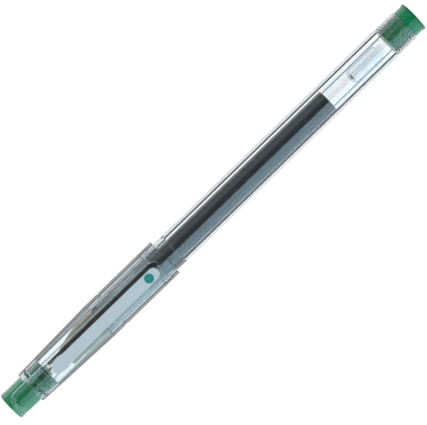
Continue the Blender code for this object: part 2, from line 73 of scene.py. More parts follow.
SAME_PLACE = 1e-7  # metres: points closer than this are one
INWARD = -0.3  # a face looks at the axis when its normal lies this much against the way out

Point = tuple[float, float]
Outline = Sequence[Point]


class Steps(Enum):
    """How many flats a full turn is made of."""

    LARGE = 96
    SMALL = 48


class Face(Enum):
    """The part of a turned piece that a face is on, as the material slot that it gets."""

    OUTSIDE = 0
    BORE = 1
    STRETCH = 2


# Finishes


def linear(code: str) -> tuple[float, float, float, float]:
    """Turns an sRGB hex colour into linear light.

    Args:
        code: six hex digits, such as "a0b4c8".

    Returns:
        Red, green, blue and an alpha of 1.
    """
    parts = [int(code[i:i + 2], 16) / 255 for i in (0, 2, 4)]
    light = [c / 12.92 if c <= 0.04045 else ((c + 0.055) / 1.055) ** 2.4 for c in parts]
    return (light[0], light[1], light[2], 1.0)


def add_node(
    tree: bpy.types.NodeTree,
    kind: str,
    settings: Mapping[str, Any] | None = None,
    links: Mapping[str, bpy.types.NodeSocket] | None = None,
) -> bpy.types.Node:
    """Adds a node with its settings and links.

    Args:
        tree: the material's node tree.
        kind: the node's type, without "ShaderNode".
        settings: values by input name, or by property name where there is no such input.
        links: the sockets that feed the node's inputs, by input name.

    Returns:
        The new node.
    """
    made = tree.nodes.new("ShaderNode" + kind)
    for name, value in (settings or {}).items():
        if name in made.inputs:
            made.inputs[name].default_value = value
        else:
            setattr(made, name, value)
    for name, socket in (links or {}).items():
        tree.links.new(socket, made.inputs[name])
    return made


def new_tree(name: str) -> tuple[bpy.types.Material, bpy.types.NodeTree]:
    """Makes a material with an empty node tree.

    Args:
        name: the material's name.

    Returns:
        The material and its tree.
    """
    made = bpy.data.materials.new(name)
    made.use_nodes = True
    made.node_tree.nodes.clear()
    return made, made.node_tree


def ramp(
    tree: bpy.types.NodeTree, stops: Sequence[tuple[float, str | float]], factor: bpy.types.NodeSocket
) -> bpy.types.NodeSocket:
    """Adds a colour ramp.

    Args:
        tree: the material's node tree.
        stops: places from 0 to 1, each with a hex colour or a plain level from 0 to 1.
        factor: the socket that drives the ramp.

    Returns:
        The ramp's colour socket.
    """
    made = add_node(tree, "ValToRGB", links={"Fac": factor})
    elements = made.color_ramp.elements
    while len(elements) < len(stops):
        elements.new(0.5)
    for element, (place, value) in zip(elements, stops):
        element.position = place
        element.color = linear(value) if isinstance(value, str) else (value, value, value, 1.0)
    return made.outputs["Color"]


@dataclass(frozen=True)
class Finish(ABC):
    """What a surface is made of and how it was made."""

    name: str

    @abstractmethod
    def shade(self, tree: bpy.types.NodeTree) -> bpy.types.Node:
        """Adds the finish's shader to a tree and returns the shader node."""

    def build(self) -> bpy.types.Material:
        """Makes the material, or returns the one that was made before."""
        known = bpy.data.materials.get(self.name)
        if known:
            return known
        made, tree = new_tree(self.name)
        shader = self.shade(tree)
        add_node(tree, "OutputMaterial", links={"Surface": shader.outputs[0]})
        return made

    def grain(
        self, tree: bpy.types.NodeTree, size_mm: float, stretch: float = 1.0, detail: float = 2.0
    ) -> bpy.types.NodeSocket:
        """Adds noise with lumps of a real size.

        Args:
            tree: the material's node tree.
            size_mm: about how wide a lump is, across the pen.
            stretch: how many times longer it is along the pen.
            detail: octaves of finer noise on top.

        Returns:
            The noise's value socket.
        """
        place = add_node(tree, "TexCoord").outputs["Object"]
        turned = add_node(tree, "Mapping", {"Scale": (1 / stretch, 1.0, 1.0)}, {"Vector": place})
        noise = add_node(
            tree,
            "TexNoise",
            {"Scale": 1 / (size_mm * MM), "Detail": detail},
            {"Vector": turned.outputs["Vector"]},
        )
        return noise.outputs["Fac"]

    def mottled(
        self, tree: bpy.types.NodeTree, value: bpy.types.NodeSocket, dark: str, light: str
    ) -> bpy.types.NodeSocket:
        """Runs from one colour to another over the middle of a noise, and returns its socket."""
        return ramp(tree, ((0.3, dark), (0.7, light)), value)

    def between(
        self, tree: bpy.types.NodeTree, value: bpy.types.NodeSocket, low: float, high: float
    ) -> bpy.types.NodeSocket:
        """Maps the middle half of a noise to the range from low to high, and returns its socket."""
        mapped = add_node(
            tree,
            "MapRange",
            {"From Min": 0.25, "From Max": 0.75, "To Min": low, "To Max": high},
            {"Value": value},
        )
        return mapped.outputs["Result"]

    def dented(
        self, tree: bpy.types.NodeTree, height: bpy.types.NodeSocket, depth_mm: float
    ) -> bpy.types.NodeSocket:
        """Turns a height into a bumped normal, depth_mm deep, and returns its socket."""
        bump = add_node(tree, "Bump", {"Distance": depth_mm * MM, "Strength": 1.0}, {"Height": height})
        return bump.outputs["Normal"]


@dataclass(frozen=True)
class ClearMouldingWithPaintedShade(Finish):
    """Clear injection-moulded plastic, polished by its mould.

    The eye sees through it. Where it is looked along, its colour is darkened by the angle of view
    into slate and near-black edge lines: painted shade that stands in for the dark surroundings
    mirrored in its walls. Slow waves from the flow of the melt make the highlights run unevenly.
    """

    stops: tuple[tuple[float, str], ...] = ((0.0, "f4f8f9"), (1.0, "e4eaee"))
    passes: tuple[tuple[float, float], ...] = ()
    ior: float = 1.59
    rough: tuple[float, float] = (0.0, 0.02)
    wave_mm: float = 2.2
    wave_depth_mm: float = 0.004

    def shade(self, tree: bpy.types.NodeTree) -> bpy.types.Node:
        """Adds a refracting shader whose tint follows the angle of view, with painted shade where it is
        looked along.
        """
        facing = add_node(tree, "LayerWeight", {"Blend": 0.5}).outputs["Facing"]
        # painted shade: this ramp darkens the clear tint by the angle of view, to paint dark edge lines
        tint = ramp(tree, self.stops, facing)
        waves = self.grain(tree, self.wave_mm, stretch=4.0)
        shader = add_node(
            tree,
            "BsdfPrincipled",
            {"IOR": self.ior, "Transmission Weight": 1.0},
            {
                "Base Color": tint,
                "Roughness": self.between(tree, waves, *self.rough),
                "Normal": self.dented(tree, waves, self.wave_depth_mm),
            },
        )
        # painted shade: where this ramp drops to 0, the dark tint shows as an opaque painted dark line
        if self.passes:
            tree.links.new(ramp(tree, self.passes, facing), shader.inputs["Transmission Weight"])
        return shader


@dataclass(frozen=True)
class TintedMoulding(Finish):
    """Translucent green polypropylene, moulded with a glossy skin.

    Light goes through it and comes back greener and milky, so it is deep green where it is
    thick and pale at its edges.
    """

    deep: str = "008650"
    middle: str = "1f9468"
    pale: str = "5f9480"
    haze: float = 0.06
    skin: float = 0.7

    def shade(self, tree: bpy.types.NodeTree) -> bpy.types.Node:
        """Adds a refracting shader with a little cloud in it and a hard glossy skin."""
        cloud = self.grain(tree, 1.6, stretch=2.0)
        facing = add_node(tree, "LayerWeight", {"Blend": 0.5}).outputs["Facing"]
        stops = ((0.0, self.deep), (0.08, self.deep), (0.3, self.middle), (1.0, self.pale))
        return add_node(
            tree,
            "BsdfPrincipled",
            {
                "IOR": 1.49,
                "Transmission Weight": 0.65,
                "Coat Weight": self.skin,
                "Coat IOR": 1.75,
                "Coat Roughness": 0.03,
            },
            {
                "Base Color": ramp(tree, stops, facing),
                "Roughness": self.between(tree, cloud, self.haze * 0.3, self.haze),
                "Normal": self.dented(tree, cloud, 0.01),
            },
        )


@dataclass(frozen=True)
class SolidMoulding(Finish):
    """Opaque coloured plastic or elastomer with the fine texture of its mould.

    The pigment is slightly uneven, and fine pits break up the gloss.
    """

    dark: str = "8d8672"
    light: str = "b3ab94"
    rough: tuple[float, float] = (0.3, 0.42)
    grit_mm: float = 0.25
    specular: float = 0.5

    def shade(self, tree: bpy.types.NodeTree) -> bpy.types.Node:
        """Adds an opaque shader with pigment clouds and mould grit."""
        cloud = self.grain(tree, 3.0)
        grit = self.grain(tree, self.grit_mm, detail=4.0)
        return add_node(
            tree,
            "BsdfPrincipled",
            {"IOR": 1.5, "Specular IOR Level": self.specular},
            {
                "Base Color": self.mottled(tree, cloud, self.dark, self.light),
                "Roughness": self.between(tree, grit, *self.rough),
                "Normal": self.dented(tree, grit, 0.01),
            },
        )


@dataclass(frozen=True)
class TurnedMetal(Finish):
    """Metal that was turned or drawn, with fine lines round it or along it.

    The lines spread the highlight across them, which gives a satin sheen.
    """

    dark: str = "8a867c"
    light: str = "b8b4a8"
    rough: tuple[float, float] = (0.18, 0.34)
    line_mm: float = 0.12
    along: bool = False

    def shade(self, tree: bpy.types.NodeTree) -> bpy.types.Node:
        """Adds a metal shader with tool lines."""
        lines = self.grain(tree, self.line_mm, stretch=40.0 if self.along else 0.05, detail=3.0)
        return add_node(
            tree,
            "BsdfPrincipled",
            {"Metallic": 1.0},
            {
                "Base Color": self.mottled(tree, lines, self.dark, self.light),
                "Roughness": self.between(tree, lines, *self.rough),
                "Normal": self.dented(tree, lines, 0.004),
            },
        )


@dataclass(frozen=True)
class GelInk(Finish):
    """Dark gel ink that wets the inside of its tube.

    It is nearly black with a trace of the pigment's green. Where it wets the tube it mirrors
    the lights strongly, with a cool tint.
    """

    dark: str = "10191c"
    light: str = "1e2c31"
    shine: str = "30d4ff"

    def shade(self, tree: bpy.types.NodeTree) -> bpy.types.Node:
        """Adds a dark shader with slow swirls."""
        swirl = self.grain(tree, 2.0, stretch=8.0, detail=3.0)
        return add_node(
            tree,
            "BsdfPrincipled",
            {"IOR": 2.1, "Specular IOR Level": 0.8, "Specular Tint": linear(self.shine)},
            {
                "Base Color": self.mottled(tree, swirl, self.dark, self.light),
                "Roughness": self.between(tree, swirl, 0.0, 0.03),
            },
        )


@dataclass(frozen=True)
class ClearGrease(Finish):
    """Clear grease that follows the ink down its tube.

    It is a soft bluish white, with a slight haze from the thickener in it.
    """

    tint: str = "fafcfe"

    def shade(self, tree: bpy.types.NodeTree) -> bpy.types.Node:
        """Adds a refracting shader with haze in clouds."""
        haze = self.grain(tree, 1.2, stretch=3.0)
        return add_node(
            tree,
            "BsdfPrincipled",
            {"IOR": 1.46, "Transmission Weight": 1.0, "Specular IOR Level": 0.5},
            {
                "Base Color": self.mottled(tree, haze, self.tint, "ffffff"),
                "Roughness": self.between(tree, haze, 0.0, 0.04),
            },
        )


@dataclass(frozen=True)
class PrintedFilm(Finish):
    """Plastic film with a flat printed colour under a thin varnish.

    The print's dots give the colour a fine mottle, and the varnish a soft gloss.
    """

    dark: str = "c0c3c1"
    light: str = "cacccb"
    dot_mm: float = 0.16

    def shade(self, tree: bpy.types.NodeTree) -> bpy.types.Node:
        """Adds a print with a varnish over it."""
        place = add_node(tree, "TexCoord").outputs["Object"]
        dots = add_node(
            tree, "TexVoronoi", {"Scale": 1 / (self.dot_mm * MM)}, {"Vector": place}
        ).outputs["Distance"]
        cloud = self.grain(tree, 5.0)
        mixed = add_node(tree, "Math", {"operation": "ADD"})
        tree.links.new(dots, mixed.inputs[0])
        tree.links.new(cloud, mixed.inputs[1])
        return add_node(
            tree,
            "BsdfPrincipled",
            {"IOR": 1.5, "Coat Weight": 0.3, "Coat Roughness": 0.12},
            {
                "Base Color": ramp(tree, ((0.5, self.dark), (1.0, self.light)), mixed.outputs[0]),
                "Roughness": self.between(tree, cloud, 0.35, 0.5),
                "Normal": self.dented(tree, dots, 0.002),
            },
        )


@dataclass(frozen=True)
class StudioBoard(Finish):
    """Opal acrylic sheet, lit from below.

    It glows evenly, so that clear plastic over it has white to show through, and its satin
    surface has only a little cloud in it.
    """

    glow: float = 1.06
    dark: str = "5a5b5c"
    light: str = "626364"

    def shade(self, tree: bpy.types.NodeTree) -> bpy.types.Node:
        """Adds an even glow over a dim satin surface."""
        cloud = self.grain(tree, 30.0)
        return add_node(
            tree,
            "BsdfPrincipled",
            {
                "Specular IOR Level": 0.1,
                "Roughness": 0.8,
                "Emission Color": linear("ffffff"),
                "Emission Strength": self.glow,
            },
            {"Base Color": self.mottled(tree, cloud, self.dark, self.light)},
        )


# Painted shade: in each clear finish below, the darker stops towards a facing of 1 paint slate and near-black
# edge lines
CLEAR_CAP = ClearMouldingWithPaintedShade(
    "clear_polystyrene_cap",
    stops=(
        (0.0, "f4f8f8"),
        (0.17, "e0e7e9"),
        (0.27, "9aa5aa"),
        (0.4, "a6b0b5"),
        (0.5, "737d83"),
        (0.6, "2b3338"),
        (0.8, "0c1012"),
        (1.0, "0c1012"),
    ),
)
# Painted shade: the cap's thick stretch gets much darker stops, painting its wall slate and its edges
# near-black
THICK_CAP_PAINTED_SHADE = ClearMouldingWithPaintedShade(
    "clear_polystyrene_cap_thick_wall_painted_shade",
    stops=(
        (0.0, "f8fbfb"),
        (0.26, "ecf0f2"),
        (0.3, "646d74"),
        (0.4, "465057"),
        (0.48, "2c353b"),
        (0.58, "0e1316"),
        (1.0, "0c1012"),
    ),
    wave_depth_mm=0.01,
)
# Painted shade: a narrow band of viewing angle at the bore turns opaque and near-black, a painted dark line
# along the bore's edge
CAP_BORE_PAINTED_LINE = ClearMouldingWithPaintedShade(
    "clear_polystyrene_cap_bore_painted_line",
    stops=(
        (0.0, "f8fbfb"),
        (0.205, "f2f6f7"),
        (0.21, "16191c"),
        (0.24, "16191c"),
        (0.25, "f2f6f7"),
        (1.0, "f2f6f7"),
    ),
    passes=((0.0, 1.0), (0.205, 1.0), (0.212, 0.0), (0.24, 0.0), (0.247, 1.0), (1.0, 1.0)),
    wave_depth_mm=0.002,
)
CLEAR_BARREL = ClearMouldingWithPaintedShade(
    "clear_polystyrene_barrel",
    stops=(
        (0.0, "fefefe"),
        (0.28, "fafcfc"),
        (0.33, "a4adb3"),
        (0.6, "a4adb3"),
        (0.75, "7a848a"),
        (1.0, "434c52"),
    ),
    wave_depth_mm=0.002,
)
# Painted shade: a narrow band of viewing angle at the bore turns opaque and near-black, a painted dark line
# along the bore's edge
BARREL_BORE_PAINTED_LINE = ClearMouldingWithPaintedShade(
    "clear_polystyrene_barrel_bore_painted_line",
    stops=(
        (0.0, "fdfefe"),
        (0.19, "fafcfc"),
        (0.2, "0c0e10"),
        (0.255, "0c0e10"),
        (0.265, "f6f9fa"),
        (1.0, "f6f9fa"),
    ),
    passes=((0.0, 1.0), (0.192, 1.0), (0.202, 0.0), (0.255, 0.0), (0.266, 1.0), (1.0, 1.0)),
    wave_depth_mm=0.001,
)
RINGED_GRIP = ClearMouldingWithPaintedShade(
    "clear_polystyrene_grip_rings",
    stops=((0.0, "f8fafa"), (0.6, "eef1f2"), (1.0, "8a9398")),
    passes=((0.0, 0.72), (1.0, 0.72)),
    rough=(0.03, 0.08),
)
CLEAR_CLIP = ClearMouldingWithPaintedShade(
    "clear_polystyrene_clip",
    stops=((0.0, "f8fbfb"), (0.6, "eef2f4"), (1.0, "8d979e")),
)
# Painted shade: near-black clear plastic for the clip's far flank and its turn round the free end, painting
# the dark band that the lighting throws there
CLIP_PAINTED_SHADE = ClearMouldingWithPaintedShade(
    "clear_polystyrene_clip_painted_shade",
    stops=((0.0, "2c3034"), (1.0, "1d2124")),
    wave_depth_mm=0.012,
)
CLEAR_TUBE = ClearMouldingWithPaintedShade(
    "clear_polypropylene_tube",
    stops=((0.0, "fcfdfe"), (0.7, "f4f8fa"), (0.85, "9aa6ad"), (1.0, "333c42")),
    ior=1.5,
    rough=(0.0, 0.03),
)
CLEAR_FLOAT = ClearMouldingWithPaintedShade(
    "clear_polypropylene_float",
    stops=((0.0, "f8fbfc"), (0.4, "e6edf0"), (0.7, "79858d"), (1.0, "47525a")),
    ior=1.5,
)
GREEN_CAP_PLUG = TintedMoulding("green_polypropylene_cap_plug")
GREEN_TAIL_PLUG = TintedMoulding("green_polypropylene_tail_plug", pale="62b096", skin=0.15)
BEIGE_NOSE = SolidMoulding("beige_abs_nose")
BEIGE_HOLDER = SolidMoulding("beige_pom_holder", dark="8b8a7e", light="a8a699")
SEAL_RUBBER = SolidMoulding("elastomer_tip_seal", dark="c0c4c0", light="d2d5d1", rough=(0.5, 0.7))
NICKEL_SILVER = TurnedMetal("turned_nickel_silver", dark="8f8670", light="c4bba2")
NEEDLE_STEEL = TurnedMetal("drawn_stainless_needle", along=True)
SPRING_STEEL = TurnedMetal("drawn_stainless_spring_wire", along=True, line_mm=0.03)
CARBIDE = TurnedMetal("polished_carbide_ball", dark="4c4c50", light="66666a", rough=(0.08, 0.16))
INK = GelInk("gel_ink")
GREASE = ClearGrease("follower_grease")
LABEL_FILM = PrintedFilm("printed_label_film")
DOT_PRINT = PrintedFilm("green_dot_print", dark="06776a", light="0e8a79")
BOARD = StudioBoard("studio_board")


# Shared ways of making meshes


@dataclass(frozen=True)
class PenAxis:
    """The pen's axis in the frame, and where stations along it lie.

    Attributes:
        start: X of the cap's closed end, in metres.
        height: Z of the axis, in metres.
    """

    start: float
    height: float

    @classmethod
    def from_frame(cls) -> "PenAxis":
        """Reads the axis from the boxes of the cap's plug and the barrel."""
        low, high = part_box("barrel")
        return cls(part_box("cap_end_plug")[0].x, (low.z + high.z) / 2)

    def at(self, station: float, side: float = 0.0, up: float = 0.0) -> Vector:
        """A point in the frame, from its station, its Y and its height over the axis, in mm."""
        return Vector((self.start + station * MM, side * MM, self.height + up * MM))

    def span(self, node: str) -> tuple[float, float]:
        """The stations where a node starts and ends."""
        low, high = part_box(node)
        return ((low.x - self.start) / MM, (high.x - self.start) / MM)

    def radius(self, node: str) -> float:
        """The radius of a turned node, in mm, from its width."""
        low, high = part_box(node)
        return (high.y - low.y) / 2 / MM


def finished(shape: bmesh.types.BMesh, name: str, sharp: float = 35.0) -> bpy.types.Object:
    """Makes a smooth-shaded object from a bmesh and frees the bmesh.

    Args:
        shape: the closed shape, in the frame.
        name: the piece's name.
        sharp: edges that turn by more than this many degrees stay sharp.

    Returns:
        The object, at the origin.
    """
    mesh = bpy.data.meshes.new(name)
    shape.to_mesh(mesh)
    shape.free()
    mesh.shade_smooth()
    mesh.set_sharp_from_angle(angle=math.radians(sharp))
    made = bpy.data.objects.new(name, mesh)
    bpy.context.scene.collection.objects.link(made)
    return made


def rounded(shape: bmesh.types.BMesh, geom: list, size: float, affect: str = "VERTICES") -> None:
    """Rounds corners of a flat outline, or edges of a block.

    Args:
        shape: the bmesh that holds them.
        geom: the corner points, or the edges.
        size: how far from them the rounding starts, in mm.
        affect: "VERTICES" for corner points and "EDGES" for edges.
    """
    bmesh.ops.bevel(
        shape,
        geom=geom,
        offset=size * MM,
        offset_type="OFFSET",
        segments=3,
        profile=0.5,
        affect=affect,
        clamp_overlap=True,
        material=-1,
    )


def held(outline: Outline, reach: float = 0.2) -> list[Point]:
    """Adds points near both ends of each long stretch, so that its shading stays straight.

    Args:
        outline: points of (station, radius).
        reach: how far from a stretch's ends the new points are, in mm.

    Returns:
        The outline with the points added.
    """
    full = [outline[0]]
    for first, second in zip(outline, outline[1:]):
        length = math.dist(first, second)
        if length > 4 * reach:
            for share in (reach / length, 1 - reach / length):
                full.append(
                    (first[0] + (second[0] - first[0]) * share, first[1] + (second[1] - first[1]) * share)
                )
        full.append(second)
    return full


def spun(
    axis: PenAxis,
    name: str,
    outer: Outline,
    inner: Outline = (),
    rounding: float = 0.06,
    steps: Steps = Steps.LARGE,
) -> bpy.types.Object:
    """Turns an outline about the pen's axis.

    Args:
        axis: the pen's axis.
        name: the piece's name.
        outer: points of (station, radius) along the outside, from the cap's end to the tail.
        inner: points along the bore, in the same order. A solid piece has none.
        rounding: how far the mould's rounding reaches from each corner, in mm.
        steps: how many flats go round.

    Returns:
        The piece, as one closed mesh.
    """
    shape = bmesh.new()
    outline = held([*outer, *reversed(inner)])
    closed = all(radius > 0 for _, radius in outline)
    points = [shape.verts.new(axis.at(station, 0.0, radius)) for station, radius in outline]
    for first, second in zip(points, points[1:]):
        shape.edges.new((first, second))
    if closed:
        shape.edges.new((points[-1], points[0]))
    ends = {points[0], points[-1]} if not closed else set()
    corners = [p for p in points if p not in ends and is_corner(p)]
    if rounding > 0 and corners:
        rounded(shape, corners, rounding)
    bmesh.ops.spin(
        shape,
        geom=[*shape.verts, *shape.edges],
        cent=axis.at(0.0),
        axis=(1.0, 0.0, 0.0),
        angle=2 * math.pi,
        steps=steps.value,
        use_merge=True,
    )
    bmesh.ops.remove_doubles(shape, verts=shape.verts, dist=SAME_PLACE)
    bmesh.ops.recalc_face_normals(shape, faces=shape.faces)
    return finished(shape, name)


def is_corner(point: bmesh.types.BMVert, turn: float = 30.0) -> bool:
    """Whether an outline turns by more than so many degrees at a point."""
    if len(point.link_edges) != 2:
        return False
    first, second = (edge.other_vert(point).co - point.co for edge in point.link_edges)
    return math.pi - first.angle(second) > math.radians(turn)


def mark_bore(piece: bpy.types.Object, axis: PenAxis) -> None:
    """Gives the faces that look at the pen's axis the second material slot, where the bore's painted dark
    line goes.

    Args:
        piece: a turned piece.
        axis: the pen's axis.
    """
    for face in piece.data.polygons:
        outward = Vector((0.0, face.center.y, face.center.z - axis.height))
        inward = outward.length > 0 and face.normal.dot(outward.normalized()) < INWARD
        face.material_index = (Face.BORE if inward else Face.OUTSIDE).value


def mark_stretch(piece: bpy.types.Object, axis: PenAxis, start: float, end: float) -> None:
    """Gives a stretch of a turned piece's outside a finish of its own.

    Args:
        piece: the turned piece, with its bore already marked.
        axis: the pen's axis.
        start: the station where the stretch starts.
        end: the station where it ends.
    """
    low, high = axis.at(start).x, axis.at(end).x
    for face in piece.data.polygons:
        if face.material_index == Face.OUTSIDE.value and low < face.center.x < high:
            face.material_index = Face.STRETCH.value


def weight_normals(piece: bpy.types.Object) -> None:
    """Keeps large flat faces flat in the shading, next to small roundings."""
    made = piece.modifiers.new("weighted_normals", "WEIGHTED_NORMAL")
    made.mode = "FACE_AREA"
    made.weight = 100
    made.keep_sharp = True


def arc(station: float, radius: float, size: float, start: float, end: float, points: int = 9) -> list[Point]:
    """Points on an arc, as (station, radius) pairs.

    Args:
        station: the arc's middle, along the axis.
        radius: the arc's middle, from the axis.
        size: the arc's own radius.
        start: the first point's direction in degrees. 0 points at the tail and 90 outwards.
        end: the last point's direction.
        points: how many points.

    Returns:
        The points, from start to end.
    """
    turns = [math.radians(start + (end - start) * i / (points - 1)) for i in range(points)]
    return [(station + size * math.cos(a), radius + size * math.sin(a)) for a in turns]


@dataclass
class SubAssembly(ABC):
    """Pieces that are made together; most of them ride on a body of the frame."""

    axis: PenAxis
    made: dict[str, bpy.types.Object] = field(default_factory=dict)

    @abstractmethod
    def build(self) -> None:
        """Makes the meshes."""

    @abstractmethod
    def dress(self) -> None:
        """Gives the pieces their finishes."""

    def keep(self, piece: bpy.types.Object, body: str, slot: str, *nodes: str) -> bpy.types.Object:
        """Puts a piece on its body, in place of the frame's own nodes.

        Args:
            piece: the finished object.
            body: the body that it rides on.
            slot: the record's material slot; not used.
            nodes: the nodes that it stands for.

        Returns:
            The piece.
        """
        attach(piece, body)
        return self.listed(piece, slot, *nodes)

    def listed(self, piece: bpy.types.Object, slot: str, *nodes: str) -> bpy.types.Object:
        """Hides the frame's nodes that a piece stands for, and adds the piece to those made."""
        if nodes:
            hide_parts(*nodes)
        self.made[piece.name] = piece
        return piece

    def finish_with(self, name: str, *finishes: Finish) -> None:
        """Gives a piece its materials, in the order of its material slots."""
        for finish in finishes:
            self.made[name].data.materials.append(finish.build())

    def report(self) -> None:
        """Logs each piece with its number of faces."""
        for name, piece in self.made.items():
            LOG.info("%s: %s, %d faces", type(self).__name__, name, len(piece.data.polygons))


# Sub-assemblies


@dataclass
class Barrel(SubAssembly):
    """The clear barrel with its ringed grip and ribbed tail, and the beige nose in its front."""

    bore: float = 3.54
    front_bore: float = 3.25
    front_bore_end: float = 57.0
    grip_radius: float = 4.2
    ring_pitch: float = 0.5
    ring_height: float = 0.09
    rings_from: float = 33.6
    rings_to: float = 49.8
    bead_station: float = 51.05
    bead_width: float = 0.6
    bead_height: float = 0.3
    shoulder: float = 0.3
    chamfer: float = 0.1
    bore_slope: float = 0.6
    nose_mouth: float = 1.9
    nose_curve: float = 6.6
    nose_fullness: float = 1.3
    nose_steps: int = 14
    nose_spigot: float = 3.15
    nose_front_bore: float = 1.35
    nose_middle_bore: float = 1.75
    nose_rear_bore: float = 2.75
    nose_step: float = 22.3
    nose_flare: tuple[float, float] = (24.2, 26.9)
    rib_pitch: float = 0.82
    rib_depth: float = 0.3
    rib_count: int = 8

    def build(self) -> None:
        """Makes the barrel and the nose."""
        self.build_barrel()
        self.build_nose()

    def rings(self) -> list[Point]:
        """The outline of the moulded rings on the grip: a wave with one crest for each ring."""
        points_per_ring = 6
        count = round((self.rings_to - self.rings_from) / self.ring_pitch) * points_per_ring
        outline = []
        for i in range(count + 1):
            turn = 2 * math.pi * i / points_per_ring
            station = self.rings_from + (self.rings_to - self.rings_from) * i / count
            outline.append((station, self.grip_radius - self.ring_height * (1 - math.cos(turn)) / 2))
        return outline

    def ribs(self, end: float, radius: float) -> list[Point]:
        """The outline of the ribs round the tail: rounded lands with grooves between them."""
        outline = []
        start = end - self.rib_count * self.rib_pitch
        points_per_rib = 8
        for i in range(self.rib_count * points_per_rib):
            turn = 2 * math.pi * i / points_per_rib
            depth = self.rib_depth * (1 - math.cos(turn)) / 2
            outline.append((start + self.rib_pitch * i / points_per_rib, radius - depth))
        return outline

    def build_barrel(self) -> None:
        """Makes the tube, grip, snap bead and tail ribs."""
        start, end = self.axis.span("barrel")
        radius = self.axis.radius("barrel")
        mouth = self.axis.span("cap_shell")[1]
        half = self.bead_width / 2
        grip = self.grip_radius
        outer = [
            (start, grip - self.chamfer),
            (start + self.chamfer, grip),
            *self.rings(),
            (self.bead_station - 2 * half, grip),
            (self.bead_station - half, grip + self.bead_height),
            (self.bead_station + half, grip + self.bead_height),
            (self.bead_station + 2 * half, grip),
            (mouth, grip),
            (mouth + self.shoulder, radius),
            *self.ribs(end, radius),
            (end, radius),
        ]
        inner = [
            (start, self.front_bore),
            (self.front_bore_end, self.front_bore),
            (self.front_bore_end + self.bore_slope, self.bore),
            (end, self.bore),
        ]
        piece = spun(self.axis, "barrel_tube", outer, inner)
        mark_bore(piece, self.axis)
        mark_stretch(piece, self.axis, self.rings_from, self.bead_station)
        self.keep(piece, "barrel", "clear_barrel", "barrel")

    def build_nose(self) -> None:
        """Makes the nose, with a curved front and the spigot that the barrel grips."""
        start, end = self.axis.span("nose_cone")
        shoulder = self.axis.span("barrel")[0] - self.chamfer
        radius = self.axis.radius("nose_cone")
        ogive = []
        for i in range(self.nose_steps + 1):
            reach = math.sin(math.pi / 2 * i / self.nose_steps)
            thinned = (radius - self.nose_mouth) * (1 - reach) ** self.nose_fullness
            ogive.append((start + self.nose_curve * reach, radius - thinned))
        outer = [*ogive, (shoulder, radius), (shoulder, self.nose_spigot), (end, self.nose_spigot)]
        inner = [
            (start, self.nose_front_bore),
            (self.nose_step, self.nose_front_bore),
            (self.nose_step + self.chamfer, self.nose_middle_bore),
            (self.nose_flare[0], self.nose_middle_bore),
            (self.nose_flare[1], self.nose_rear_bore),
            (end, self.nose_rear_bore),
        ]
        piece = spun(self.axis, "nose_piece", outer, inner)
        self.keep(piece, "barrel", "beige_nose", "nose_cone")

    def dress(self) -> None:
        """Clear plastic with painted shade on the barrel and beige on the nose."""
        self.finish_with("barrel_tube", CLEAR_BARREL, BARREL_BORE_PAINTED_LINE, RINGED_GRIP)
        self.finish_with("nose_piece", BEIGE_NOSE)


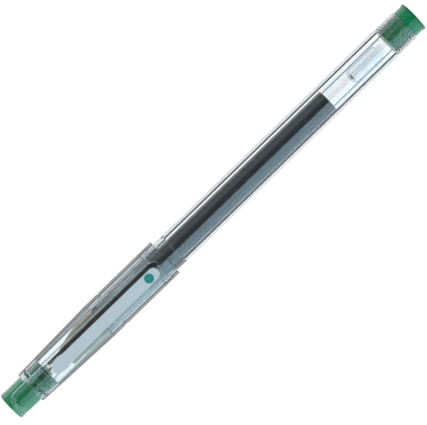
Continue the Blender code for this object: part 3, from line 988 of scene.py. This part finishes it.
@dataclass
class Cap(SubAssembly):
    """The clear cap shell, the green plug in its closed end and the seal for the tip."""

    shell_start: float = 7.05
    shell_rounding: float = 0.1
    bore: float = 4.6
    neck_length: float = 1.2
    flare_end: float = 2.25
    sleeve_bore: float = 3.65
    sleeve_end: float = 31.5
    neck_bore: float = 2.65
    end_radius: float = 4.6
    shoulder_radius: float = 4.9
    shoulder_station: float = 14.8
    thick_from: float = 12.9
    thick_swell: float = 0.22
    notch_station: float = 35.2
    notch_width: float = 0.9
    notch_depth: float = 0.15
    notch_slope: float = 0.25
    groove_depth: float = 0.15
    groove: tuple[float, float] = (49.9, 52.2)
    head_rounding: float = 0.35
    head_end: float = 6.95
    lip_width: float = 1.45
    lip_height: float = 0.05
    neck_radius: float = 2.5
    flange_start: float = 9.4
    flange_radius: float = 3.55
    socket_start: float = 10.4
    socket_radius: float = 1.5
    plug_rounding: float = 0.08
    seal_radius: float = 1.4
    dimple_radius: float = 0.8
    dimple_depth: float = 0.9

    def build(self) -> None:
        """Makes the shell, the plug and the seal."""
        self.build_shell()
        self.build_plug()
        self.build_seal()

    def build_shell(self) -> None:
        """Makes the shell with its tapered front, a notch line and the snap groove in its mouth."""
        start = self.axis.span("cap_end_plug")[0] + self.shell_start
        end = self.axis.span("cap_shell")[1]
        radius = self.axis.radius("cap_shell")
        notch = self.notch_station
        low, high = self.groove
        deep = self.bore + self.groove_depth
        outer = [
            (start, self.end_radius),
            (self.thick_from, self.end_radius + self.thick_swell),
            (self.shoulder_station, self.shoulder_radius),
            (self.sleeve_end, radius),
            (notch, radius),
            (notch + self.notch_slope, radius - self.notch_depth),
            (notch + self.notch_width - self.notch_slope, radius - self.notch_depth),
            (notch + self.notch_width, radius),
            (end, radius),
        ]
        inner = [
            (start, self.neck_bore),
            (start + self.neck_length, self.neck_bore),
            (start + self.flare_end, self.sleeve_bore),
            (self.sleeve_end, self.sleeve_bore),
            (self.sleeve_end, self.bore),
            (low, self.bore),
            (low + self.groove_depth, deep),
            (high - self.groove_depth, deep),
            (high, self.bore),
            (end, self.bore),
        ]
        piece = spun(self.axis, "cap_sleeve", outer, inner, self.shell_rounding)
        mark_bore(piece, self.axis)
        mark_stretch(piece, self.axis, self.thick_from, self.sleeve_end)
        self.keep(piece, "cap", "clear_cap", "cap_shell")

    def build_plug(self) -> None:
        """Makes the green plug: a head, a neck and a flange that holds the seal."""
        start, end = self.axis.span("cap_end_plug")
        head = self.axis.radius("cap_end_plug")
        turn = self.head_rounding
        outer = [
            (start, 0.0),
            *arc(start + turn, head - turn, turn, 180.0, 90.0, 6),
            (start + self.lip_width, head),
            (start + self.lip_width + self.lip_height, head - self.lip_height),
            (start + self.head_end, head - self.lip_height),
            (start + self.head_end, self.neck_radius),
            (start + self.flange_start, self.neck_radius),
            (start + self.flange_start, self.flange_radius),
            (end, self.flange_radius),
            (end, self.socket_radius),
            (start + self.socket_start, self.socket_radius),
            (start + self.socket_start, 0.0),
        ]
        piece = spun(self.axis, "cap_plug", outer, rounding=self.plug_rounding)
        self.keep(piece, "cap", "green_cap_plug", "cap_end_plug")

    def build_seal(self) -> None:
        """Makes the seal with the dimple that the tip sits in."""
        start, end = self.axis.span("tip_seal")
        outer = [
            (start, 0.0),
            (start, self.seal_radius),
            (end, self.seal_radius),
            (end, self.dimple_radius),
            (end - self.dimple_depth, 0.0),
        ]
        piece = spun(self.axis, "tip_pad", outer, steps=Steps.SMALL)
        self.keep(piece, "cap", "tip_seal_rubber", "tip_seal")

    def dress(self) -> None:
        """Clear plastic with painted shade, green plastic and pale elastomer."""
        self.finish_with("cap_sleeve", CLEAR_CAP, CAP_BORE_PAINTED_LINE, THICK_CAP_PAINTED_SHADE)
        self.finish_with("cap_plug", GREEN_CAP_PLUG)
        self.finish_with("tip_pad", SEAL_RUBBER)


@dataclass
class Clip(SubAssembly):
    """The clear clip, moulded with the cap, and its label."""

    start: float = 0.96
    width: float = 5.9
    rim: float = 0.35
    flank: float = 0.9
    flank_drop: float = 0.35
    bottom: float = 6.3
    top: float = 7.6
    top_rounding: float = 0.1
    bottom_rounding: float = 0.12
    block_rounding: float = 0.15
    block_gap: float = 0.01
    creased: float = 15.0
    # painted shade: where on the clip the painted dark band lies
    painted_shade_tilt: tuple[float, float] = (0.15, 0.99)
    painted_shade_from: float = 21.0
    painted_shade_turn: float = 46.0
    painted_shade_turn_side: float = 0.7
    flex: tuple[float, float] = (12.0, 14.0)
    cuts_per_mm: int = 4
    pad: tuple[float, float] = (47.5, 50.5)
    pad_width: float = 3.6
    pad_bottom: float = 5.75
    bridge: tuple[float, float] = (7.6, 12.55)
    bridge_width: float = 4.6
    bridge_bottom: float = 4.75
    oval_length: float = 6.2
    oval_width: float = 3.8
    band_width: float = 3.2
    label_lift: float = 0.03
    label_thickness: float = 0.08
    label_points: int = 33
    print_lift: float = 0.085
    print_thickness: float = 0.012
    dot_station: float = 47.9
    dot_radius: float = 1.26
    dot_points: int = 48

    def build(self) -> None:
        """Makes the clip, its label and the dot on the label."""
        self.build_clip()
        self.build_label()
        self.build_dot()

    def stadium(self, start: float, end: float, width: float, points: int = 25) -> list[Point]:
        """An outline with two round ends, as (station, y) pairs."""
        half = width / 2
        turns = [math.pi * (0.5 + i / (points - 1)) for i in range(points)]
        front = [(start + half + half * math.cos(a), half * math.sin(a)) for a in turns]
        rear = [(end - half - half * math.cos(a), -half * math.sin(a)) for a in turns]
        return [*front, *rear]

    def slab(self, outline: Outline, low: float, high: float) -> bmesh.types.BMesh:
        """Raises a flat outline into a block.

        Args:
            outline: (station, y) pairs round the block.
            low: height of the underside over the axis.
            high: height of the top.

        Returns:
            The block as a bmesh, with its top face listed last.
        """
        shape = bmesh.new()
        floor = shape.faces.new([shape.verts.new(self.axis.at(x, y, low)) for x, y in outline])
        raised = bmesh.ops.extrude_face_region(shape, geom=[floor], use_keep_orig=True)
        lifted = [v for v in raised["geom"] if isinstance(v, bmesh.types.BMVert)]
        bmesh.ops.translate(shape, verts=lifted, vec=(0.0, 0.0, (high - low) * MM))
        bmesh.ops.recalc_face_normals(shape, faces=shape.faces)
        return shape

    def build_clip(self) -> None:
        """Makes the clip: a bar with a sloping flank round its top, a bridge and a pad."""
        end = self.axis.span("clip_arm")[1]
        shape = self.slab(self.stadium(self.start, end, self.width), self.bottom, self.top - self.flank_drop)
        top = max(shape.faces, key=lambda f: (f.calc_center_median().z, f.calc_area()))
        bmesh.ops.inset_region(shape, faces=[top], thickness=self.rim * MM, depth=0.0)
        bmesh.ops.inset_region(
            shape, faces=[top], thickness=self.flank * MM, depth=self.flank_drop * MM, use_even_offset=True
        )
        edges = [e for e in shape.edges if e.calc_face_angle(0.0) > math.radians(self.creased)]
        level = self.axis.height + (self.bottom + self.top_rounding) * MM
        upper = [e for e in edges if min(v.co.z for v in e.verts) > level]
        lower = [e for e in edges if max(v.co.z for v in e.verts) < level]
        rounded(shape, upper, self.top_rounding, "EDGES")
        rounded(shape, [e for e in lower if e.is_valid], self.bottom_rounding, "EDGES")
        for station in range(math.floor(self.flex[0]), math.ceil(self.flex[1]) + 1):
            for part in range(self.cuts_per_mm):
                self.cut(shape, station + part / self.cuts_per_mm)
        self.add_block(shape, self.bridge, self.bridge_width, self.bridge_bottom)
        self.add_block(shape, self.pad, self.pad_width, self.pad_bottom)
        piece = finished(shape, "clip_bar")
        self.mark_painted_shade(piece)
        weight_normals(piece)
        self.listed(piece, "clear_clip", "clip_arm")
        self.axis.at(self.flex[0])
        self.axis.at(self.flex[1])
        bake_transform(piece)

    def mark_painted_shade(self, piece: bpy.types.Object) -> None:
        """Gives the flank on the far side, and its turn round the free end, the second slot: painted shade, a
        near-black band where the lighting leaves that side dark.
        """
        for face in piece.data.polygons:
            sloped = self.painted_shade_tilt[0] < face.normal.z < self.painted_shade_tilt[1]
            side = face.center.y > self.band_width / 2 * MM
            turning = face.center.x > self.axis.at(self.painted_shade_turn).x
            past = turning and face.center.y > self.painted_shade_turn_side * MM
            beyond_root = face.center.x > self.axis.at(self.painted_shade_from).x
            inner = abs(face.center.y) < (self.width / 2 - self.rim) * MM
            face.material_index = int(sloped and inner and beyond_root and (side or past))

    def cut(self, shape: bmesh.types.BMesh, station: float) -> None:
        """Adds a line of edges across a block at a station."""
        bmesh.ops.bisect_plane(
            shape,
            geom=[*shape.verts, *shape.edges, *shape.faces],
            plane_co=self.axis.at(station),
            plane_no=(1.0, 0.0, 0.0),
            dist=SAME_PLACE,
        )

    def add_block(
        self, shape: bmesh.types.BMesh, span: tuple[float, float], width: float, bottom: float
    ) -> None:
        """Adds a block that hangs from the clip's underside.

        Args:
            shape: the clip's bmesh.
            span: the stations where the block starts and ends.
            width: its width in mm.
            bottom: the height of its underside over the axis.
        """
        height = self.bottom - bottom - self.block_gap
        made = bmesh.ops.create_cube(shape, size=1.0)
        size = Matrix.Diagonal(((span[1] - span[0]) * MM, width * MM, height * MM, 1.0))
        middle = Matrix.Translation(self.axis.at(sum(span) / 2, 0.0, bottom + height / 2))
        bmesh.ops.transform(shape, matrix=middle @ size, verts=made["verts"])
        edges = list({e for v in made["verts"] for e in v.link_edges})
        rounded(shape, edges, self.block_rounding, "EDGES")

    def build_label(self) -> None:
        """Makes the label: a band with a wider oval front and a round rear end."""
        start, end = self.axis.span("clip_label")
        half = self.band_width / 2
        middle = start + self.oval_length / 2
        sweep = math.asin(self.band_width / self.oval_width)
        shares = [i / (self.label_points - 1) for i in range(self.label_points)]
        turns = [sweep + (2 * math.pi - 2 * sweep) * share for share in shares]
        oval = [
            (middle + self.oval_length / 2 * math.cos(a), self.oval_width / 2 * math.sin(a)) for a in turns
        ]
        turns = [math.pi * (share - 0.5) for share in shares]
        rear = [(end - half + half * math.cos(a), half * math.sin(a)) for a in turns]
        low = self.top + self.label_lift
        shape = self.slab([*oval, *rear], low, low + self.label_thickness)
        self.keep(finished(shape, "label_band"), "clip", "label_film", "clip_label")

    def build_dot(self) -> None:
        """Makes the green dot as a thin disc of print on the label."""
        low = self.top + self.label_lift + self.print_lift
        turns = [2 * math.pi * i / self.dot_points for i in range(self.dot_points)]
        outline = [
            (self.dot_station + self.dot_radius * math.cos(a), self.dot_radius * math.sin(a)) for a in turns
        ]
        shape = self.slab(outline, low, low + self.print_thickness)
        self.keep(finished(shape, "label_dot"), "clip", "label_film")

    def dress(self) -> None:
        """Clear plastic with painted shade on its far flank, printed film and green print."""
        self.finish_with("clip_bar", CLEAR_CLIP, CLIP_PAINTED_SHADE)
        self.finish_with("label_band", LABEL_FILM)
        self.finish_with("label_dot", DOT_PRINT)


@dataclass
class WritingTip(SubAssembly):
    """The needle with its ball, the cone that holds it, the spring behind the ball and the holder."""

    ball_station: float = 13.5
    ball_radius: float = 0.2
    seat_gap: float = 0.03
    lip_ahead: float = 0.12
    needle_bore: float = 0.15
    passage: float = 0.6
    end_gap: float = 0.1
    needle_fit: float = 0.03
    cone_mouth: float = 0.45
    cone_front: float = 0.55
    cone_taper: float = 3.4
    cone_neck: float = 1.2
    collar: tuple[float, float] = (22.4, 26.9)
    collar_slope: float = 0.4
    collar_radius: float = 1.6
    shank_radius: float = 1.3
    cone_rounding: float = 0.03
    holder_radius: float = 2.6
    holder_chamfer: float = 0.15
    holder_flange: float = 1.5
    holder_spigot: float = 2.65
    holder_socket: float = 1.33
    holder_funnel: float = 2.2
    holder_rounding: float = 0.08
    spring_radius: float = 0.4
    coil_start: float = 24.3
    points_per_coil: int = 20
    wire_sharp: float = 60.0
    wire_radius: float = 0.06
    spring_turns: int = 6
    spring_length: float = 5.2

    def build(self) -> None:
        """Makes the tip's pieces."""
        self.build_needle()
        self.build_ball()
        self.build_cone()
        self.build_spring()
        self.build_holder()

    def build_needle(self) -> None:
        """Makes the needle with its lip rolled over the ball."""
        start, end = self.axis.span("needle_tube")
        radius = self.axis.radius("needle_tube")
        seat = self.ball_radius + self.seat_gap
        lip = math.degrees(math.acos(-self.lip_ahead / seat))
        back = math.degrees(math.asin(self.needle_bore / seat))
        inner = [*arc(self.ball_station, 0.0, seat, lip, back), (end, self.needle_bore)]
        outer = [(start, inner[0][1] + self.seat_gap), (start + radius, radius), (end, radius)]
        piece = spun(self.axis, "needle", outer, inner, rounding=0.0, steps=Steps.SMALL)
        self.keep(piece, "refill", "needle_steel", "needle_tube")

    def build_ball(self) -> None:
        """Makes the writing ball."""
        shape = bmesh.new()
        bmesh.ops.create_uvsphere(shape, u_segments=32, v_segments=20, radius=self.ball_radius * MM)
        bmesh.ops.translate(shape, verts=shape.verts, vec=self.axis.at(self.ball_station))
        self.keep(finished(shape, "tip_ball"), "refill", "ball_carbide", "writing_ball")

    def build_cone(self) -> None:
        """Makes the turned cone round the needle."""
        start, end = self.axis.span("tip_cone")
        needle_end = self.axis.span("needle_tube")[1] + self.end_gap
        fit = self.axis.radius("needle_tube") + self.needle_fit
        outer = [
            (start, self.cone_mouth),
            (start + self.cone_front - self.cone_mouth, self.cone_front),
            (start + self.cone_taper, self.cone_neck),
            (self.collar[0], self.cone_neck),
            (self.collar[0] + self.collar_slope, self.collar_radius),
            (self.collar[1], self.collar_radius),
            (self.collar[1], self.shank_radius),
            (end, self.shank_radius),
        ]
        inner = [(start, fit), (needle_end, fit), (needle_end, self.passage), (end, self.passage)]
        piece = spun(self.axis, "needle_cone", outer, inner, self.cone_rounding, Steps.SMALL)
        self.keep(piece, "refill", "tip_cone_metal", "tip_cone")

    def build_spring(self) -> None:
        """Sweeps the wire's round section along its straight end and its coil."""
        start = self.axis.span("ball_spring")[0]
        count = self.spring_turns * self.points_per_coil
        route = [self.axis.at(start), self.axis.at(self.coil_start - self.spring_radius)]
        for i in range(count + 1):
            turn = 2 * math.pi * i / self.points_per_coil
            side, up = self.spring_radius * math.sin(turn), self.spring_radius * math.cos(turn)
            route.append(self.axis.at(self.coil_start + self.spring_length * i / count, side, up))
        curve = bpy.data.curves.new("spring_wire_line", "CURVE")
        curve.dimensions = "3D"
        curve.bevel_depth = self.wire_radius * MM
        curve.bevel_resolution = 2
        curve.use_fill_caps = True
        spline = curve.splines.new("POLY")
        spline.points.add(len(route) - 1)
        for point, place in zip(spline.points, route):
            point.co = (*place, 1.0)
        drawn = bpy.data.objects.new("spring_wire_line", curve)
        shape = bmesh.new()
        shape.from_mesh(drawn.to_mesh())
        bpy.data.objects.remove(drawn)
        bmesh.ops.remove_doubles(shape, verts=shape.verts, dist=SAME_PLACE)
        piece = finished(shape, "spring_wire", self.wire_sharp)
        self.keep(piece, "refill", "spring_steel", "ball_spring")

    def build_holder(self) -> None:
        """Makes the moulded holder that joins the cone to the tube."""
        start, end = self.axis.span("tip_holder")
        flange = self.axis.radius("tip_holder")
        flange_end = self.axis.span("refill_tube")[0] - self.end_gap
        flange_start = flange_end - self.holder_flange
        socket_end = self.axis.span("tip_cone")[1] + self.end_gap
        outer = [
            (start, self.holder_radius - self.holder_chamfer),
            (start + self.holder_chamfer, self.holder_radius),
            (flange_start, self.holder_radius),
            (flange_start, flange),
            (flange_end, flange),
            (flange_end, self.holder_spigot),
            (end, self.holder_spigot),
        ]
        inner = [
            (start, self.holder_socket),
            (socket_end, self.holder_socket),
            (socket_end, self.passage),
            (flange_end, self.passage),
            (end, self.holder_funnel),
        ]
        piece = spun(self.axis, "tip_socket", outer, inner, self.holder_rounding)
        self.keep(piece, "refill", "beige_holder", "tip_holder")

    def dress(self) -> None:
        """Metals on the tip and beige plastic on its holder."""
        self.finish_with("needle", NEEDLE_STEEL)
        self.finish_with("tip_ball", CARBIDE)
        self.finish_with("needle_cone", NICKEL_SILVER)
        self.finish_with("spring_wire", SPRING_STEEL)
        self.finish_with("tip_socket", BEIGE_HOLDER)


@dataclass
class Refill(SubAssembly):
    """The clear tube with its ink, the grease and the float that follow the ink.

    What fills the tube reaches a little way into its wall, so that light crosses from one to
    the other with no air between them, as it does where grease or ink wets the plastic.
    """

    wall: float = 0.42
    wetting: float = 0.03
    float_wall: float = 0.45
    meniscus: float = 0.35
    lean: float = 0.2
    lean_from: float = 50.0
    lean_to: float = 58.0
    lean_steps: int = 8
    dish_steps: int = 8
    dome_points: int = 12

    def build(self) -> None:
        """Makes the tube and what is in it."""
        self.build_tube()
        self.build_ink()
        self.build_grease()
        self.build_float()

    @property
    def filled(self) -> float:
        """The radius of what fills the tube."""
        return self.axis.radius("refill_tube") - self.wall + self.wetting

    @property
    def bend(self) -> list[float]:
        """Stations through the stretch where the refill starts to lean."""
        step = (self.lean_to - self.lean_from) / self.lean_steps
        return [self.lean_from + step * i for i in range(self.lean_steps + 1)]

    def leaned(self, piece: bpy.types.Object) -> bpy.types.Object:
        """Lets a piece lie against the near side of the barrel's bore, behind its narrow front."""
        low, high = self.axis.at(self.lean_from).x, self.axis.at(self.lean_to).x
        for point in piece.data.vertices:
            share = min(max((point.co.x - low) / (high - low), 0.0), 1.0)
            point.co.y -= self.lean * MM * share * share * (3 - 2 * share)
        return piece

    def build_tube(self) -> None:
        """Makes the tube."""
        start, end = self.axis.span("refill_tube")
        radius = self.axis.radius("refill_tube")
        bore = radius - self.wall
        stations = [start, *self.bend, end]
        piece = spun(self.axis, "ink_tube", [(x, radius) for x in stations], [(x, bore) for x in stations])
        self.keep(self.leaned(piece), "refill", "clear_refill", "refill_tube")

    def build_ink(self) -> None:
        """Makes the ink, with a hollow rear face, and gives it a mesh of its own."""
        start, end = self.axis.span("ink_column")
        turns = [math.pi / 2 * (1 - i / self.dish_steps) for i in range(self.dish_steps + 1)]
        dish = [(end - self.meniscus * math.cos(a), self.filled * math.sin(a)) for a in turns]
        side = [(station, self.filled) for station in self.bend]
        outer = [(start, 0.0), (start, self.filled), *side, *dish[:-1], (end - self.meniscus, 0.0)]
        piece = spun(self.axis, "ink_fill", outer, rounding=0.0)
        self.keep(self.leaned(piece), "refill", "gel_ink", "ink_column")
        self.axis.at(start)
        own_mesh(piece)

    def build_grease(self) -> None:
        """Makes the grease, with a pocket that the float fills."""
        start, end = self.axis.span("follower_gel")
        pocket = self.axis.radius("float") - self.wetting
        nose = self.axis.span("float")[0] + self.axis.radius("float")
        dome = arc(nose, 0.0, pocket, 180.0, 90.0, self.dome_points)
        outer = [(start, 0.0), (start, self.filled), (end, self.filled), (end, pocket)]
        outer += [*reversed(dome[1:]), (dome[0][0], 0.0)]
        piece = spun(self.axis, "grease_fill", outer, rounding=0.0)
        self.keep(self.leaned(piece), "follower", "clear_follower", "follower_gel")

    def build_float(self) -> None:
        """Makes the float: a thin cup with a round nose."""
        start, end = self.axis.span("float")
        radius = self.axis.radius("float")
        nose = start + radius
        hole = radius - self.float_wall
        shell = arc(nose, 0.0, radius, 180.0, 90.0, self.dome_points)
        core = arc(nose, 0.0, hole, 180.0, 90.0, self.dome_points)
        outer = [(start, 0.0), *shell[1:], (end, radius), (end, hole)]
        outer += [*reversed(core[1:]), (core[0][0], 0.0)]
        piece = spun(self.axis, "float_cup", outer, rounding=0.0, steps=Steps.SMALL)
        self.keep(self.leaned(piece), "follower", "clear_float", "float")

    def dress(self) -> None:
        """Clear tube and float, ink and grease."""
        self.finish_with("ink_tube", CLEAR_TUBE)
        self.finish_with("ink_fill", INK)
        self.finish_with("grease_fill", GREASE)
        self.finish_with("float_cup", CLEAR_FLOAT)


@dataclass
class TailPlug(SubAssembly):
    """The green plug in the barrel's tail."""

    spigot: float = 3.4
    head_length: float = 3.3
    head_radius: float = 4.1
    rim_length: float = 0.9
    rounding: float = 0.3
    rim_slope: float = 0.1
    corner: float = 0.08

    def build(self) -> None:
        """Makes the plug: a spigot in the bore and a rimmed head."""
        start, end = self.axis.span("tail_plug")
        rim = self.axis.radius("tail_plug")
        head = end - self.head_length
        outer = [
            (start, 0.0),
            (start, self.spigot - self.rounding),
            (start + self.rounding, self.spigot),
            (head, self.spigot),
            (head, self.head_radius),
            (end - self.rim_length, self.head_radius),
            (end - self.rim_length + self.rim_slope, rim),
            *arc(end - self.rounding, rim - self.rounding, self.rounding, 90.0, 0.0, 6),
            (end, 0.0),
        ]
        piece = spun(self.axis, "rear_plug", outer, rounding=self.corner)
        self.keep(piece, "tail_plug", "green_tail_plug", "tail_plug")

    def dress(self) -> None:
        """Green plastic."""
        self.finish_with("rear_plug", GREEN_TAIL_PLUG)


# Studio


@dataclass
class Studio:
    """A glowing board, soft panels along both sides of the pen and at its ends, and the camera.

    A panel's span is its two edges as angles from straight up over the pen. Side panels stand
    along the pen, and their angles are positive towards -Y. End panels stand across it, and
    their angles are positive towards +X: a turned piece mirrors them only where it is not
    straight, so they light what is dull and make rings and ribs sparkle. The key is two panels,
    because its lower part is brighter.
    """

    axis: PenAxis
    board_size: float = 3.0
    light_distance: float = 0.6
    side_length: float = 2.4
    end_length: float = 1.0
    key_span: tuple[float, float] = (8.5, 50.0)
    key_radiance: float = 1.25
    low_key_span: tuple[float, float] = (50.0, 86.0)
    low_key_radiance: float = 1.6
    fill_span: tuple[float, float] = (-31.5, -88.0)
    fill_radiance: float = 0.3
    end_span: tuple[float, float] = (28.0, 72.0)
    end_radiance: float = 0.8
    key_tint: str = "c8ecff"
    fill_tint: str = "f4f8ff"
    end_tint: str = "f8faff"
    world_radiance: float = 0.12
    camera_distance: float = 0.9
    camera_elevation: float = 82.5
    camera_roll: float = 44.12
    aim_offset: float = -0.37
    nearest_seen: float = 0.01
    room_tint: str = "eef3fa"
    picture_width: float = 0.1079
    sensor_mm: float = 36.0

    def build(self) -> None:
        """Makes the board, the lights, the camera and the colour settings."""
        self.build_board()
        front, along = Vector((0.0, -1.0, 0.0)), Vector((1.0, 0.0, 0.0))
        side, end = self.side_length, self.end_length
        for name, towards, span, length, radiance, tint in (
            ("key_panel", front, self.key_span, side, self.key_radiance, self.key_tint),
            ("low_key_panel", front, self.low_key_span, side, self.low_key_radiance, self.key_tint),
            ("fill_panel", front, self.fill_span, side, self.fill_radiance, self.fill_tint),
            ("tail_panel", along, self.end_span, end, self.end_radiance, self.end_tint),
            ("cap_panel", -along, self.end_span, end, self.end_radiance, self.end_tint),
        ):
            self.build_panel(name, towards, span, length, radiance, tint)
        self.build_world()
        self.build_camera()
        self.set_colour()

    def build_board(self) -> None:
        """Makes the board that the pen lies on."""
        shape = bmesh.new()
        bmesh.ops.create_grid(shape, x_segments=1, y_segments=1, size=self.board_size / 2)
        board = finished(shape, "board")
        board.data.materials.append(BOARD.build())

    def build_panel(
        self, name: str, towards: Vector, span: tuple[float, float], length: float, radiance: float, tint: str
    ) -> None:
        """Makes a soft panel that spans a range of angles over the pen.

        Args:
            name: the light's name.
            towards: the level direction that angles are measured towards.
            span: its two edges, as angles from straight up, in degrees.
            length: how long it is across that direction, in metres.
            radiance: how bright it looks, where white paper is 1.
            tint: its colour.
        """
        up = Vector((0.0, 0.0, 1.0))
        edges = [
            (towards * math.sin(math.radians(a)) + up * math.cos(math.radians(a))) * self.light_distance
            for a in span
        ]
        middle = (edges[0] + edges[1]) / 2
        height = (edges[0] - edges[1]).length
        light = bpy.data.lights.new(name, "AREA")
        light.shape = "RECTANGLE"
        light.size = length
        light.size_y = height
        light.color = linear(tint)[:3]
        light.energy = radiance * math.pi * length * height
        lamp = bpy.data.objects.new(name, light)
        back = middle.normalized()
        side = towards.cross(up)
        turn = Matrix((side, back.cross(side), back)).transposed()
        lamp.matrix_world = Matrix.Translation(middle) @ turn.to_4x4()
        bpy.context.scene.collection.objects.link(lamp)

    def build_world(self) -> None:
        """Makes the dim grey room round the lights."""
        world = bpy.data.worlds.new("studio_room")
        world.use_nodes = True
        world.node_tree.nodes["Background"].inputs["Color"].default_value = linear(self.room_tint)
        world.node_tree.nodes["Background"].inputs["Strength"].default_value = self.world_radiance
        bpy.context.scene.world = world

    def build_camera(self) -> None:
        """Makes a long-lensed camera above the pen, rolled so that the pen runs corner to corner."""
        rise = math.radians(self.camera_elevation)
        roll = math.radians(self.camera_roll)
        back = Vector((0.0, math.cos(rise), math.sin(rise)))
        across = Vector((1.0, 0.0, 0.0))
        over = Vector((0.0, math.sin(rise), -math.cos(rise)))
        right = across * math.cos(roll) - over * math.sin(roll)
        up = across * math.sin(roll) + over * math.cos(roll)
        target = Vector((0.0, self.aim_offset * MM, self.axis.height))
        camera = bpy.data.cameras.new("camera")
        camera.sensor_width = self.sensor_mm
        camera.lens = self.sensor_mm * self.camera_distance / self.picture_width
        camera.clip_start = self.nearest_seen
        seen = bpy.data.objects.new("camera", camera)
        turn = Matrix((right, up, back)).transposed().to_4x4()
        seen.matrix_world = Matrix.Translation(target + back * self.camera_distance) @ turn
        bpy.context.scene.collection.objects.link(seen)
        bpy.context.scene.camera = seen

    def set_colour(self) -> None:
        """Shows colours as they are, and lets light through all the clear walls."""
        scene = bpy.context.scene
        scene.view_settings.view_transform = "Standard"
        scene.cycles.max_bounces = 32
        scene.cycles.transmission_bounces = 28
        scene.cycles.glossy_bounces = 12
        scene.cycles.diffuse_bounces = 4
        scene.cycles.caustics_reflective = True
        scene.cycles.caustics_refractive = True
        scene.cycles.blur_glossy = 0.0
        scene.cycles.use_denoising = True


def main() -> None:
    """Builds the pen and the studio, and reports each piece."""
    logging.basicConfig(level=logging.INFO, format="%(name)s: %(message)s")
    axis = PenAxis.from_frame()
    for part in (Barrel(axis), Cap(axis), Clip(axis), WritingTip(axis), Refill(axis), TailPlug(axis)):
        part.build()
        part.dress()
        part.report()
    Studio(axis).build()


if __name__ == "__main__":
    main()
